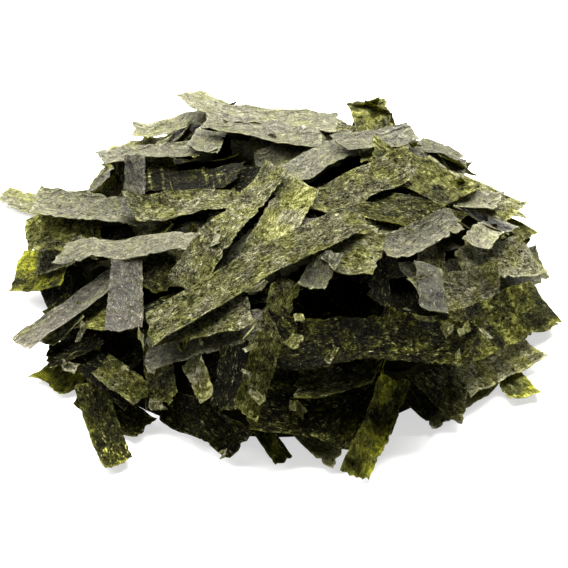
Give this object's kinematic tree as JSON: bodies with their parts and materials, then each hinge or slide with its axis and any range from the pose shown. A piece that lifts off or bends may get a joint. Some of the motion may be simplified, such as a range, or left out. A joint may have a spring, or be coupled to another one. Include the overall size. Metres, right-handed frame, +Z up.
{
  "type": "crumbled seasoned nori",
  "caption": "Loose heap of torn seasoned seaweed strips lying over one another in a low mound.",
  "frame": {"origin": "middle of the heap's box, on the surface that it lies on", "axes": "+Z up, -Y the front that the picture was taken from, +X to its right"},
  "size_m": [0.1612, 0.1494, 0.0306],
  "materials": {
    "nori": "dry, softly shiny sheet with fine mottling"
  },
  "bodies": {
    "root": {"nori_heap": "nori"}
  },
  "joints": []
}
